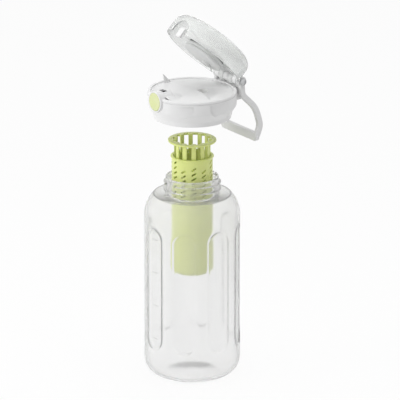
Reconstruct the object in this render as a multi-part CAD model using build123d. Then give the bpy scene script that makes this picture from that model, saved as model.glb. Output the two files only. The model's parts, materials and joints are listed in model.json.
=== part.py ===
"""Fruit infuser water bottle: clear body, green infuser, twist-lock flip-top lid and carry strap.

Millimetres, +Z up, origin at the centre of the base. The release button faces -Y and the hinge is at +Y.
Everything stands where it is when the bottle is opened up: the lid is lifted off, the infuser is drawn
half out of the neck and the flip cap is open.
"""
from build123d import *
from math import asin, cos, degrees, radians, sin, sqrt
import os

# Shared allowances
overrun = 1.0
seat_gap = 0.3
fit_gap = 0.1
run_gap = 0.05
part_gap = 0.4
root = 0.4

# Bottle body
body_radius = 46.0
body_wall = 2.4
base_corner_radius = 18.0
dimple_radius = 24.0
dimple_top_radius = 12.0
dimple_height = 2.0
wall_top = 160.0
shoulder_radius = 30.7
ring_radius = 36.9
ring_lip = 0.8
neck_radius = 25.55
neck_height = 17.1
mouth_radius = 23.7
bore_radius = 22.2
ledge_depth = 2.2
rim_round = 0.6

# Grip panels around the body
grip_count = 8
grip_width = 21.5
grip_bottom = 32.6
grip_top = 152.3
grip_depth = 1.1
grip_slope = 35

# Raised marks on the panel below the button
tick_spacing = 33.1
tick_first = 43.0
tick_count = 4
tick_width = 8.0
tick_height = 0.9
tick_stand = 0.4

# Lock ridges and bead on the neck
ridge_reach = 1.95
ridge_height = 2.2
ridge_drop = 6.1
ridge_slope = 0.5
ridge_gap_angle = 34
bead_drop = 12.5
lug_angle = 26
lug_height = 2.6
lug_clearance = 0.45

# Infuser basket
basket_radius = 19.7
basket_wall = 1.6
basket_rim_radius = 20.75
basket_rim_height = 1.8
basket_length = 117.0
basket_base_round = 6.0
basket_base_thickness = 2.0
seam_radius = 19.95
seam_height = 1.2
seam_drop = 47.0

# Diagonal slots in the basket
slot_columns = 12
slot_rows = 8
slot_length = 5.6
slot_width = 1.5
slot_pitch = 4.5
slot_tilt = 33
slot_first_drop = 8.0
plain_patch_from = 8
plain_patch_to = 103
plain_patch_drop = 14.0
drain_hole_radius = 1.5
drain_hole_circle = 9.0
drain_hole_count = 6

# Infuser crown
crown_rise = 15.9
crown_radius = 17.45
crown_wall = 1.4
flange_radius = 23.2
flange_height = 1.8
crown_depth = 13.5
skirt_height = 4.2
crown_slots = 12
crown_slot_width = 4.8
crown_slot_bottom = 6.0
flange_notch_radius = 18.9
tab_angle = 16
tab_reach = 0.5
tab_height = 1.8
notch_angle = 26
release_turn = 35

# How far the loose pieces are lifted in the rest pose
lid_travel = 76.1
infuser_travel = 36.85

# Lid shell, heights from its lower edge
skirt_radius = 37.35
skirt_height_lid = 4.5
band_radius = 42.65
band_bottom = 12.5
lid_height = 26.4
lid_top_round = 0.9
band_round = 4.8
skirt_wall = 2.3
band_wall = 3.0
groove_drop = 3.0
groove_height = 0.7
groove_depth = 0.5

# Finger scallops in the lid band
scallop_angles = (40, 96, -40, -96)
scallop_width = 25.0
scallop_bottom = 10.6
scallop_top = 22.0
scallop_depth = 1.5
scallop_round = 8.0

# Lid deck and drinking hole
deck_drop = 1.0
deck_thickness = 1.4
deck_rim_width = 2.4
hollow_depth = 2.2
hollow_radius = 22.0
hollow_round = 80.0
drink_hole_radius = 5.5
drink_hole_offset = 12.0
plateau_edge = 6.0
plateau_slope = 2.0
plateau_bulge_radius = 65.0
dip_width = 21.0
dip_front = 22.3
dip_length = 4.0
dip_depth = 1.2
fin_foot = 5.0
fin_lean = 7.0
fin_height = 9.6
fin_thickness = 1.4
fin_radius = 36.0
fin_angle = -88.7

# Lock sleeve inside the lid
sleeve_radius = 28.0
sleeve_wall = 1.8
sleeve_bottom = 1.0
plate_thickness = 1.4
seal_inner = 21.5
seal_thickness = 1.6

# Button, its tube and the latch
button_radius = 8.75
button_height = 22.0
button_face = 44.3
button_thickness = 3.4
button_round = 1.2
button_travel = 1.8
tube_radius = 9.8
tube_front = 42.8
tube_back = 27.8
tube_end_wall = 1.0
hump_cover = 0.4
hump_flat = 0.3
hump_half_width = 16.0
hump_waist = 8.0
hump_blend = 2.6
hump_flat_end = 28.2
hump_foot = 22.5
hump_round = 6.0
hump_reach = 38.2
bezel_radius = 10.2
bezel_length = 1.0
stem_radius = 3.2
stem_length = 2.1
latch_wall = 1.0
latch_half_width = 5.4
latch_plate_height = 5.3
latch_plate_thickness = 1.4
latch_window_half_width = 4.4
latch_tail = 1.2
spring_radius = 2.9
spring_wire = 0.6
spring_turns = 6
spring_drop = 2.6

# Hinge
hinge_distance = 43.6
hinge_rise = 5.7
knuckle_radius = 5.5
pin_radius = 1.6
pin_half_length = 22.2
pin_head_radius = 3.4
pin_head_thickness = 1.0
outer_knuckle_start = 11.0
outer_knuckle_end = 16.4
middle_knuckle_half = 3.6
knuckle_gap = 0.2
bracket_depth = 5.0
bracket_step = 4.8
bracket_foot = 13.0

# Flip cap, heights from the hinge axis with the cap shut
cap_radius = 42.0
cap_offset = 3.3
cap_wall = 1.6
cap_skirt = 4.4
cap_round = 9.6
cap_crown_height = 17.8
cap_open = 45.5
arch_half_width = 10.0
arch_top = 8.4
strap_room = 6.3
cap_plate_rise = 1.7
cap_plate_thickness = 1.6
cap_plate_radius = 23.0
hinge_arm_half_width = 10.6
front_arm_half_width = 12.0
carrier_radius = 19.4
puck_radius = 20.9
puck_offset = 3.8
puck_top = 0.2
puck_bottom = 6.4
puck_round = 1.2
puck_groove = 1.0
puck_groove_height = 1.0
knob_radius = 4.4
knob_height = 2.6
catch_front = 35.4
catch_thickness = 2.0
catch_half_width = 3.5
catch_bottom = 7.9
catch_nose = 0.9
catch_nose_height = 1.8

# Carry strap
strap_width = 8.6
strap_thickness = 4.6
strap_leg_width = 5.8
strap_middle_half = 19.0
strap_splay = 8
strap_eye_radius = 4.8
strap_out = 17.0
strap_down = 56.0
strap_corner = 3.8
strap_bends = (8.0, 26.0, 12.0)
strap_route_shares = ((0, 0), (0, -0.24), (0.85, -0.51), (1.05, -0.82), (0.74, -1))

# Places worked out from the sizes above
ring_z = wall_top + sqrt(shoulder_radius**2 - (ring_radius - body_radius + shoulder_radius) ** 2)
neck_top = ring_z + neck_height
ledge_z = neck_top - ledge_depth
ridge_z = neck_top - ridge_drop
bead_z = neck_top - bead_drop
thread_radius = neck_radius + ridge_reach
infuser_seat_z = ledge_z + run_gap
flange_z = infuser_seat_z + infuser_travel
basket_top = flange_z + flange_height - crown_rise
basket_inner = basket_radius - basket_wall
lid_z = ring_z + seat_gap + lid_travel
lid_top_z = lid_z + lid_height
hinge_z = lid_top_z + hinge_rise
deck_z = lid_top_z - deck_drop
seal_bottom = lid_z + neck_height - seat_gap + run_gap
plate_z = seal_bottom + seal_thickness + run_gap
lid_inner_radius = band_radius - band_wall
button_z = lid_z + button_height
latch_plate_z = button_z + latch_plate_height
button_back = button_face - button_thickness
stem_end = button_back - stem_length
hinge_place = Location((0, hinge_distance, hinge_z))
standing = (Align.CENTER, Align.CENTER, Align.MIN)


def outline(points, radii=0):
    """Closed face in the XZ half plane from (radius, height) points with rounded corners."""
    return Plane.XZ * make_face(FilletPolyline(*points, radius=radii, close=True))


def turned(points, radii=0, arc=360, start=0):
    """Solid turned about Z; start is the angle from -Y towards +X where a part turn begins."""
    solid = revolve(outline(points, radii), Axis.Z, arc)
    return Rot(0, 0, start - 90) * solid


def radial_plane(angle, distance, height):
    """Plane that faces outwards at an angle from -Y towards +X, with its own Y pointing up."""
    away = Vector(sin(radians(angle)), -cos(radians(angle)), 0)
    along = Vector(cos(radians(angle)), sin(radians(angle)), 0)
    return Plane(origin=(away.X * distance, away.Y * distance, height), x_dir=along, z_dir=away)


def drum(radius, low, high, at=(0, 0)):
    """Upright cylinder between two heights."""
    return Pos(at[0], at[1], low) * Cylinder(radius, high - low, align=standing)


def block(low, high):
    """Box between two corners."""
    size = [b - a for a, b in zip(low, high)]
    return Pos(*low) * Box(*size, align=(Align.MIN, Align.MIN, Align.MIN))


def cross_bar(radius, start, end):
    """Cylinder along X through the hinge axis."""
    bar = Rot(0, 90, 0) * Cylinder(radius, end - start, align=standing)
    return hinge_place * Pos(start, 0, 0) * bar


def along_button(radius, front, back, height):
    """Cylinder along Y from front to back, both measured from the bottle's axis towards -Y."""
    bar = Rot(-90, 0, 0) * Cylinder(radius, front - back, align=standing)
    return Pos(0, -front, height) * bar


def grip_panel(angle, sink, spread):
    """Cutter for one stadium panel, sunk and spread for the inner wall that follows it."""
    half_chord_drop = body_radius - sqrt(body_radius**2 - (grip_width / 2) ** 2)
    floor = body_radius - grip_depth - half_chord_drop - sink
    middle = (grip_bottom + grip_top) / 2
    length = grip_top - grip_bottom + 2 * spread
    face = radial_plane(angle, floor, middle) * SlotOverall(length, grip_width + 2 * spread, rotation=90)
    return extrude(face, body_radius - floor + overrun, taper=-grip_slope)


def grip_floor():
    """Distance from the axis to the flat floor of a grip panel."""
    return body_radius - grip_depth - (body_radius - sqrt(body_radius**2 - (grip_width / 2) ** 2))


def shoulder_arc(radius, end_height):
    """Arc of the shoulder at a given radius, up to a height, and the point where it ends."""
    centre = (body_radius - shoulder_radius, wall_top)
    sweep_angle = degrees(asin((end_height - wall_top) / radius))
    end_radius = centre[0] + radius * cos(radians(sweep_angle))
    return CenterArc(centre, radius, 0, sweep_angle), (end_radius, end_height)


def base_arc(radius):
    """Arc of the rounded lower corner at a given radius."""
    return CenterArc((body_radius - base_corner_radius, base_corner_radius), radius, -90, 90)


def make_bottle_body():
    arc, lip_point = shoulder_arc(shoulder_radius, ring_z - ring_lip)
    corner_start = body_radius - base_corner_radius
    outer_edges = [
        Polyline(
            (0, neck_top),
            (0, dimple_height),
            (dimple_top_radius, dimple_height),
            (dimple_radius, 0),
            (corner_start, 0),
        ),
        base_arc(base_corner_radius),
        Line((body_radius, base_corner_radius), (body_radius, wall_top)),
        arc,
        Polyline(
            lip_point,
            (ring_radius, ring_z - ring_lip),
            (ring_radius, ring_z),
            (neck_radius, ring_z),
            (neck_radius, neck_top),
            (0, neck_top),
        ),
    ]
    between_panels = Rot(0, 0, 180 / grip_count)
    outer_face = make_face([e for part in outer_edges for e in part.edges()])
    outer = between_panels * revolve(Plane.XZ * outer_face, Axis.Z)
    inner_top = ring_z - body_wall
    inner_arc, inner_point = shoulder_arc(shoulder_radius - body_wall, inner_top)
    inner_radius = body_radius - body_wall
    inner_edges = [
        Polyline(
            (0, inner_top),
            (0, dimple_height + body_wall),
            (dimple_top_radius, dimple_height + body_wall),
            (dimple_radius, body_wall),
            (corner_start, body_wall),
        ),
        base_arc(base_corner_radius - body_wall),
        Line((inner_radius, base_corner_radius), (inner_radius, wall_top)),
        inner_arc,
        Line(inner_point, (0, inner_top)),
    ]
    inner_face = make_face([e for part in inner_edges for e in part.edges()])
    cavity = between_panels * revolve(Plane.XZ * inner_face, Axis.Z)
    for index in range(grip_count):
        angle = index * 360 / grip_count
        outer -= grip_panel(angle, 0, 0)
        cavity -= grip_panel(angle, body_wall, body_wall / 2)
    body = outer - cavity
    body -= drum(bore_radius, inner_top - overrun, ledge_z + overrun)
    body -= drum(mouth_radius, ledge_z, neck_top + overrun)
    sharp_rim = body.edges().filter_by(GeomType.CIRCLE).group_by(Axis.Z)[-1]
    body = fillet(sharp_rim, rim_round)
    gap = ridge_gap_angle
    for side in (0, 180):
        body += neck_ridge(ridge_z, 180 - gap, side + gap / 2)
    body += neck_ridge(bead_z, 360, 0)
    for index in range(tick_count):
        height = tick_first + index * tick_spacing
        face = radial_plane(0, grip_floor() - tick_stand, height) * Rectangle(tick_width, tick_height)
        body += extrude(face, 2 * tick_stand)
    return body


def neck_ridge(height, arc, start):
    """Ridge or bead round the neck, a full turn or part of one."""
    low = height - ridge_height / 2
    high = height + ridge_height / 2
    points = [
        (neck_radius - root, low),
        (thread_radius, low + ridge_slope),
        (thread_radius, high - ridge_slope),
        (neck_radius - root, high),
    ]
    return turned(points, 0, arc, start)


def basket_slot(angle, height):
    """Cutter for one diagonal slot through the basket wall."""
    shape = SlotOverall(slot_length, slot_width, rotation=slot_tilt)
    depth = seam_radius - basket_inner + 2 * overrun
    return extrude(radial_plane(angle, basket_inner - overrun, height) * shape, depth)


def in_plain_patch(angle, drop):
    """True where the basket is left plain below its rim."""
    return plain_patch_from < angle < plain_patch_to and drop < plain_patch_drop


def make_infuser_basket():
    bottom = basket_top - basket_length
    inner = basket_inner
    base = bottom + basket_base_thickness
    shoulder = basket_top - crown_depth + crown_rise - flange_height
    shoulder_inner = crown_radius - crown_wall
    tube = turned(
        [
            (0, bottom),
            (basket_radius, bottom),
            (basket_radius, basket_top - basket_rim_height),
            (basket_rim_radius, basket_top - basket_rim_height + ridge_slope),
            (basket_rim_radius, basket_top),
            (inner, basket_top),
            (inner, base),
            (0, base),
        ],
        [0, basket_base_round, 0, 0, ridge_slope, 0, basket_base_round - basket_wall, 0],
    )
    seam_z = basket_top - seam_drop
    tube += turned(
        [
            (inner, seam_z - seam_height / 2),
            (seam_radius, seam_z - seam_height / 2),
            (seam_radius, seam_z + seam_height / 2),
            (inner, seam_z + seam_height / 2),
        ]
    )
    seat_top = crown_skirt_bottom() - run_gap
    tube += turned(
        [
            (inner + fit_gap, seat_top - 2 * basket_wall),
            (inner + fit_gap, seat_top),
            (shoulder_inner, seat_top),
            (shoulder_inner, seat_top - basket_wall),
        ]
    )
    cutters = []
    for column in range(slot_columns):
        angle = column * 360 / slot_columns
        stagger = (column % 2) * slot_pitch / 2
        for row in range(slot_rows):
            drop = slot_first_drop + stagger + row * slot_pitch
            if not in_plain_patch(angle, drop) and not in_plain_patch(angle - 360, drop):
                cutters.append(basket_slot(angle, basket_top - drop))
    tube -= cutters
    holes = [
        drum(
            drain_hole_radius,
            bottom - overrun,
            base + overrun,
            (
                drain_hole_circle * cos(radians(360 / drain_hole_count * index)),
                drain_hole_circle * sin(radians(360 / drain_hole_count * index)),
            ),
        )
        for index in range(drain_hole_count)
    ]
    tube -= holes
    tab_low = crown_skirt_bottom() + skirt_height + run_gap
    for side in (0, 180):
        tube += turned(
            [
                (inner - tab_reach, tab_low),
                (inner + fit_gap, tab_low),
                (inner + fit_gap, tab_low + tab_height),
                (inner - tab_reach, tab_low + tab_height),
            ],
            0,
            tab_angle,
            side - tab_angle / 2,
        )
    return tube


def crown_skirt_bottom():
    """Height of the lowest face of the crown, where it rests inside the basket."""
    return flange_z + flange_height - crown_rise - crown_depth


def make_infuser_crown():
    top = flange_z + flange_height
    inner = crown_radius - crown_wall
    low = crown_skirt_bottom()
    skirt_radius_crown = basket_inner - run_gap
    crown = turned(
        [
            (inner, low),
            (skirt_radius_crown, low),
            (skirt_radius_crown, low + skirt_height),
            (crown_radius, low + skirt_height),
            (crown_radius, flange_z),
            (flange_radius, flange_z),
            (flange_radius, top),
            (inner, top),
        ],
        [0, 0, 0, 0, ridge_slope, ridge_slope, ridge_slope, 0],
    )
    cutters = []
    for index in range(crown_slots):
        angle = (index + 1 / 2) * 360 / crown_slots
        middle = (low + skirt_height + crown_slot_bottom + flange_z) / 2
        height = flange_z - low - skirt_height - crown_slot_bottom
        wall_cut = radial_plane(angle, inner - overrun, middle) * Rectangle(crown_slot_width, height)
        cutters.append(extrude(wall_cut, crown_wall + 2 * overrun))
        notch_middle = flange_z + flange_height / 2
        notch = radial_plane(angle, inner - overrun, notch_middle)
        notch *= Rectangle(crown_slot_width, flange_height + 2 * overrun)
        cutters.append(extrude(notch, flange_notch_radius - inner + overrun))
    crown -= cutters
    for side in (0, 180):
        crown -= turned(
            [
                (crown_radius, low - overrun),
                (basket_inner + overrun, low - overrun),
                (basket_inner + overrun, low + skirt_height + overrun),
                (crown_radius, low + skirt_height + overrun),
            ],
            0,
            notch_angle,
            side + release_turn - notch_angle / 2,
        )
    return crown


def tube_hole(gap):
    """Cutter that lets the button tube through a lid piece."""
    return along_button(tube_radius + gap, tube_front + overrun, tube_back - gap, button_z)


def scallop(angle):
    """Cutter for one finger scallop, with its lower corners rounded."""
    reach = band_radius + overrun
    middle = lid_z + (scallop_bottom + scallop_top) / 2
    half_height = (scallop_top - scallop_bottom) / 2
    half_width = scallop_width / 2
    corners = [
        (-half_width, half_height),
        (-half_width, -half_height),
        (half_width, -half_height),
        (half_width, half_height),
    ]
    shape = make_face(FilletPolyline(*corners, radius=[0, scallop_round, scallop_round, 0], close=True))
    prism = extrude(radial_plane(angle, band_radius / 2, middle) * shape, reach)
    return prism - drum(band_radius - scallop_depth, lid_z, lid_top_z)


def make_lid_shell():
    inner = lid_inner_radius
    ledge = plate_z - lid_z
    shell = turned(
        [
            (skirt_radius - skirt_wall, lid_z),
            (skirt_radius, lid_z),
            (skirt_radius, lid_z + skirt_height_lid),
            (band_radius, lid_z + band_bottom),
            (band_radius, lid_top_z),
            (inner, lid_top_z),
            (inner, lid_z + ledge),
            (skirt_radius - skirt_wall, lid_z + skirt_height_lid),
        ],
        [0, ridge_slope, band_round, band_round, lid_top_round, ridge_slope, 0, 0],
    )
    groove_low = lid_top_z - groove_drop
    shell -= turned(
        [
            (band_radius - groove_depth, groove_low),
            (band_radius + overrun, groove_low),
            (band_radius + overrun, groove_low + groove_height),
            (band_radius - groove_depth, groove_low + groove_height),
        ]
    )
    for angle in scallop_angles:
        shell -= scallop(angle)
    shell -= tube_hole(fit_gap)
    for low, high in lid_knuckles():
        shell += lid_bracket(low, high)
    shell -= cross_bar(pin_radius + run_gap, -pin_half_length, pin_half_length)
    return shell


def lid_knuckles():
    """Spans along X of the knuckles that belong to the lid."""
    return [
        (-outer_knuckle_end, -outer_knuckle_start),
        (-middle_knuckle_half, middle_knuckle_half),
        (outer_knuckle_start, outer_knuckle_end),
    ]


def lid_bracket(low, high):
    """One lid knuckle with the bracket that carries it on the outside of the band."""
    behind_cap = cap_radius + cap_offset + part_gap
    back = hinge_distance + bracket_depth
    bracket = block((low, behind_cap, lid_top_z - band_wall), (high, back, hinge_z))
    lower = block((low, 0, lid_z + bracket_foot), (high, back, hinge_z - bracket_step))
    lower -= drum(lid_inner_radius + overrun, lid_z, hinge_z)
    return cross_bar(knuckle_radius, low, high) + bracket + lower


def make_lid_deck():
    inner = lid_inner_radius - fit_gap
    rim_inner = inner - deck_rim_width
    floor = deck_z - hollow_depth
    bottom = plate_z + run_gap
    shelf = plate_z + plate_thickness + run_gap
    pocket = neck_radius + fit_gap - run_gap
    deck = turned(
        [
            (0, floor),
            (hollow_radius, floor),
            (rim_inner, deck_z),
            (inner, deck_z),
            (inner, deck_z - deck_thickness),
            (rim_inner, deck_z - deck_thickness),
            (pocket + deck_thickness, shelf),
            (pocket, shelf),
            (pocket, bottom),
            (0, bottom),
        ],
        [0, hollow_round, ridge_slope, 0, 0, 0, 0, 0, 0, 0],
    )
    plateau = drum(rim_inner + fit_gap, floor - fit_gap, deck_z)
    bulge = turned(
        [
            (0, floor - overrun),
            (plateau_bulge_radius + plateau_slope, floor - overrun),
            (plateau_bulge_radius, deck_z),
            (0, deck_z),
        ]
    )
    deck += plateau & Pos(0, plateau_edge - plateau_bulge_radius, 0) * bulge
    deck -= block(
        (-dip_width / 2, -dip_front, deck_z - dip_depth),
        (dip_width / 2, -dip_front + dip_length, deck_z + overrun),
    )
    deck -= drum(drink_hole_radius, bottom - overrun, deck_z + overrun, (0, drink_hole_offset))
    deck -= tube_hole(fit_gap)
    return deck + make_fin()


def make_fin():
    """Small pointed fin that stands on the deck's edge and leans towards the button."""
    points = [
        (-fin_foot / 2, 0),
        (fin_lean, fin_height),
        (fin_foot / 2, 0),
    ]
    shape = make_face(Polyline(*points, close=True))
    plane = radial_plane(fin_angle, fin_radius, deck_z - fit_gap)
    return extrude(plane * shape, fin_thickness)


def make_lock_sleeve():
    outer = sleeve_radius + sleeve_wall
    pocket = neck_radius + fit_gap
    pocket_z = seal_bottom + fit_gap
    sleeve = turned(
        [
            (sleeve_radius, lid_z + sleeve_bottom),
            (outer, lid_z + sleeve_bottom),
            (outer, plate_z),
            (lid_inner_radius - fit_gap, plate_z),
            (lid_inner_radius - fit_gap, plate_z + plate_thickness),
            (pocket, plate_z + plate_thickness),
            (pocket, pocket_z),
            (sleeve_radius, pocket_z),
        ]
    )
    lug_top = ridge_z - ridge_height / 2 - lug_clearance + lid_travel + seat_gap
    lug_inner = neck_radius + lug_clearance
    for side in (0, 180):
        sleeve += turned(
            [
                (lug_inner, lug_top - lug_height),
                (sleeve_radius + fit_gap, lug_top - lug_height),
                (sleeve_radius + fit_gap, lug_top),
                (lug_inner, lug_top),
            ],
            0,
            lug_angle,
            side - lug_angle / 2,
        )
    return sleeve - tube_hole(fit_gap)


def make_mouth_seal():
    return turned(
        [
            (seal_inner, seal_bottom),
            (neck_radius, seal_bottom),
            (neck_radius, seal_bottom + seal_thickness),
            (seal_inner, seal_bottom + seal_thickness),
        ],
        ridge_slope,
    )


def make_latch_housing():
    """Tube for the button, with the hump that covers it and runs down to the deck."""
    cover = tube_radius + hump_cover
    top = button_z + cover - hump_flat
    foot = deck_z + fit_gap
    slope_points = [
        (-hump_half_width, foot),
        (-hump_waist, foot + hump_blend),
        (hump_waist, foot + hump_blend),
        (hump_half_width, foot),
    ]
    profile = make_face(Polyline(*slope_points, close=True)) + Pos(0, button_z) * Circle(cover)
    side_points = [(-tube_front, foot), (-tube_front, top), (-hump_flat_end, top), (-hump_foot, foot)]
    side = make_face(FilletPolyline(*side_points, radius=[0, 0, hump_round, 0], close=True))
    hump = extrude(Plane.XZ * profile, body_radius) & extrude(Plane.YZ * side, body_radius, both=True)
    above = top + overrun
    collar = along_button(cover, tube_front, hump_reach - overrun, button_z)
    collar &= block((-body_radius, -tube_front, lid_top_z), (body_radius, 0, top))
    housing = along_button(tube_radius, tube_front, tube_back, button_z)
    housing += (hump & drum(hump_reach, foot, above)) + collar
    bore_back = tube_back + tube_end_wall
    housing -= along_button(button_radius + fit_gap, tube_front + overrun, bore_back, button_z)
    slot_front = catch_front + part_gap + button_travel / 2
    slot_back = catch_front - catch_thickness - catch_nose - part_gap - button_travel / 2
    half = catch_half_width + part_gap
    return housing - block((-half, -slot_front, button_z), (half, -slot_back, above))


def make_button_bezel():
    ring = along_button(bezel_radius, tube_front + bezel_length, tube_front, button_z)
    front = tube_front + bezel_length + overrun
    ring -= along_button(button_radius + fit_gap, front, tube_front - overrun, button_z)
    outer_rim = ring.edges().filter_by(GeomType.CIRCLE).sort_by(SortBy.RADIUS)[-2:].sort_by(Axis.Y)[0]
    return fillet(outer_rim, ridge_slope)


def make_release_button():
    button = along_button(button_radius, button_face, button_back, button_z)
    front_rim = button.edges().filter_by(GeomType.CIRCLE).sort_by(Axis.Y)[0]
    button = fillet(front_rim, button_round)
    return button + along_button(stem_radius, button_back + fit_gap, stem_end, button_z)


def make_latch_slider():
    window_front = catch_front + button_travel + part_gap
    window_back = catch_front - catch_thickness - catch_nose - part_gap
    front = stem_end
    top = latch_plate_z + latch_plate_thickness
    plate = block(
        (-latch_half_width, -front, latch_plate_z),
        (latch_half_width, -(window_back - latch_tail), top),
    )
    plate -= block(
        (-latch_window_half_width, -window_front, latch_plate_z - overrun),
        (latch_window_half_width, -window_back, top + overrun),
    )
    tab = block(
        (-latch_half_width, -front, button_z - stem_radius),
        (latch_half_width, -(front - latch_wall), top),
    )
    return plate + tab


def make_button_spring():
    start = stem_end - latch_wall - fit_gap
    end = tube_back + tube_end_wall + fit_gap
    length = start - end - spring_wire
    path = Helix(length / spring_turns, length, spring_radius)
    section = Plane(origin=path @ 0, z_dir=path % 0) * Circle(spring_wire / 2)
    coil = sweep(section, path=path)
    return Pos(0, -start + spring_wire / 2, button_z - spring_drop) * Rot(-90, 0, 0) * coil


def make_hinge_pin():
    return cross_bar(pin_radius, -pin_half_length, pin_half_length)


def make_pin_heads():
    heads = cross_bar(pin_head_radius, pin_half_length, pin_half_length + pin_head_thickness)
    heads += cross_bar(pin_head_radius, -pin_half_length - pin_head_thickness, -pin_half_length)
    return heads


def opened(shape):
    """Turn a piece of the shut cap, drawn about the hinge axis, to its open pose."""
    return hinge_place * Rot(-cap_open, 0, 0) * hinge_place.inverse() * shape


def knuckle_room(shape):
    """Cut the room that the lid's knuckles need."""
    for low, high in lid_knuckles():
        shape -= cross_bar(knuckle_radius + part_gap, low - part_gap, high + part_gap)
    return shape


def make_cap_shell():
    low = hinge_z - cap_skirt
    top = hinge_z + cap_crown_height
    inner = cap_radius - cap_wall
    shell = turned(
        [
            (0, top),
            (cap_radius, top),
            (cap_radius, low),
            (inner, low),
            (inner, top - cap_wall),
            (0, top - cap_wall),
        ],
        [0, cap_round, ridge_slope, ridge_slope, cap_round - cap_wall, 0],
    )
    shell = Pos(0, cap_offset, 0) * shell
    arch_z = hinge_z + arch_top - arch_half_width
    front = cap_radius - cap_offset
    shell -= along_button(arch_half_width, front + overrun, front - arch_half_width, arch_z)
    reach = pin_half_length + pin_head_thickness + part_gap
    for start, end in ((outer_knuckle_end, reach), (-reach, -outer_knuckle_end)):
        shell -= cross_bar(strap_room, start, end)
    return opened(knuckle_room(shell))


def cap_knuckles():
    """Spans along X of the knuckles that belong to the cap."""
    return [
        (-outer_knuckle_start + knuckle_gap, -middle_knuckle_half - knuckle_gap),
        (middle_knuckle_half + knuckle_gap, outer_knuckle_start - knuckle_gap),
    ]


def make_cap_frame():
    low_face = hinge_z + cap_plate_rise
    high = low_face + cap_plate_thickness
    plate = drum(cap_plate_radius, low_face, high)
    inner = cap_radius - cap_wall - fit_gap
    arm_start = -cap_plate_radius / 2
    plate += block((-hinge_arm_half_width, 0, low_face), (hinge_arm_half_width, hinge_distance, high))
    arm_end = cap_offset - sqrt(inner**2 - front_arm_half_width**2)
    plate += block((-front_arm_half_width, arm_end, low_face), (front_arm_half_width, arm_start, high))
    for low, end in cap_knuckles():
        plate += cross_bar(knuckle_radius, low, end)
    plate = knuckle_room(plate)
    plate -= cross_bar(pin_radius + run_gap, -pin_half_length, pin_half_length)
    return opened(plate)


def cap_room_for_frame(shape):
    """Cut the cap shell where the frame's knuckles and arm pass through its back wall."""
    half = hinge_arm_half_width + fit_gap
    low_face = hinge_z + cap_plate_rise - fit_gap
    high_face = low_face + cap_plate_thickness + 2 * fit_gap
    passage = block((-half, 0, low_face), (half, hinge_distance, high_face))
    for low, end in cap_knuckles():
        passage += cross_bar(knuckle_radius + fit_gap, low - fit_gap, end + fit_gap)
    return shape - opened(passage)


def make_stopper_carrier():
    low = hinge_z - puck_top
    return opened(drum(carrier_radius, low, hinge_z + cap_plate_rise, (0, puck_offset)))


def make_stopper_puck():
    high = hinge_z - puck_top
    low = hinge_z - puck_bottom
    middle = (high + low) / 2
    puck = turned(
        [
            (0, low),
            (puck_radius, low),
            (puck_radius, middle - puck_groove_height),
            (puck_radius - puck_groove, middle - puck_groove_height / 2),
            (puck_radius - puck_groove, middle + puck_groove_height / 2),
            (puck_radius, middle + puck_groove_height),
            (puck_radius, high),
            (0, high),
        ],
        [0, puck_round, 0, 0, 0, 0, puck_round, 0],
    )
    return opened(Pos(0, puck_offset, 0) * puck)


def make_stopper_knob():
    low = hinge_z - puck_bottom - knob_height
    knob = drum(knob_radius, low, hinge_z - puck_bottom, (0, drink_hole_offset))
    rim = knob.edges().filter_by(GeomType.CIRCLE).sort_by(Axis.Z)[0]
    return opened(fillet(rim, puck_round / 2))


def make_cap_catch():
    low = hinge_z - catch_bottom
    front = -catch_front
    back = front + catch_thickness
    post = block((-catch_half_width, front, low), (catch_half_width, back, hinge_z + cap_plate_rise))
    nose_points = [
        (back, low),
        (back + catch_nose, low + catch_nose_height / 2),
        (back + catch_nose, low + catch_nose_height),
        (back, low + catch_nose_height),
    ]
    nose = extrude(Plane.YZ * make_face(Polyline(*nose_points, close=True)), catch_half_width, both=True)
    return opened(post + nose)


def make_carry_strap():
    points = [(0, out * strap_out, down * strap_down) for out, down in strap_route_shares]
    centre = FilletPolyline(*points, radius=strap_bends)
    start = Plane(origin=centre @ 0, x_dir=(1, 0, 0), z_dir=centre % 0)
    leg = sweep(start * Rectangle(strap_thickness, strap_leg_width), path=centre)
    eye = Rot(0, 90, 0) * Cylinder(strap_eye_radius, strap_thickness)
    right = Pos(strap_middle_half, 0, 0) * (eye + Rot(0, -strap_splay, 0) * leg)
    left = mirror(right, Plane.YZ)
    foot = centre @ 1
    reach = strap_middle_half - foot.Z * sin(radians(strap_splay)) + strap_thickness / 2
    half = strap_width / 2
    bar = block(
        (-reach, foot.Y - strap_thickness / 2, foot.Z - half),
        (reach, foot.Y + strap_thickness / 2, foot.Z + half),
    )
    corners = bar.edges().filter_by(Axis.Y)
    strap = right + left + fillet(corners, strap_corner)
    strap = hinge_place * strap
    clear = pin_half_length + overrun
    return strap - cross_bar(pin_radius + run_gap, -clear, clear)


parts = {
    "bottle_body": make_bottle_body(),
    "infuser_basket": make_infuser_basket(),
    "infuser_crown": make_infuser_crown(),
    "lid_shell": make_lid_shell(),
    "lid_deck": make_lid_deck(),
    "lock_sleeve": make_lock_sleeve(),
    "mouth_seal": make_mouth_seal(),
    "latch_housing": make_latch_housing(),
    "button_bezel": make_button_bezel(),
    "release_button": make_release_button(),
    "latch_slider": make_latch_slider(),
    "button_spring": make_button_spring(),
    "hinge_pin": make_hinge_pin(),
    "pin_heads": make_pin_heads(),
    "cap_shell": cap_room_for_frame(make_cap_shell()),
    "cap_frame": make_cap_frame(),
    "stopper_carrier": make_stopper_carrier(),
    "stopper_puck": make_stopper_puck(),
    "stopper_knob": make_stopper_knob(),
    "cap_catch": make_cap_catch(),
    "carry_strap": make_carry_strap(),
}

os.makedirs("parts", exist_ok=True)
for name, shape in parts.items():
    export_step(shape, f"parts/{name}.step")
    print(name, round(shape.volume, 1))
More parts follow.
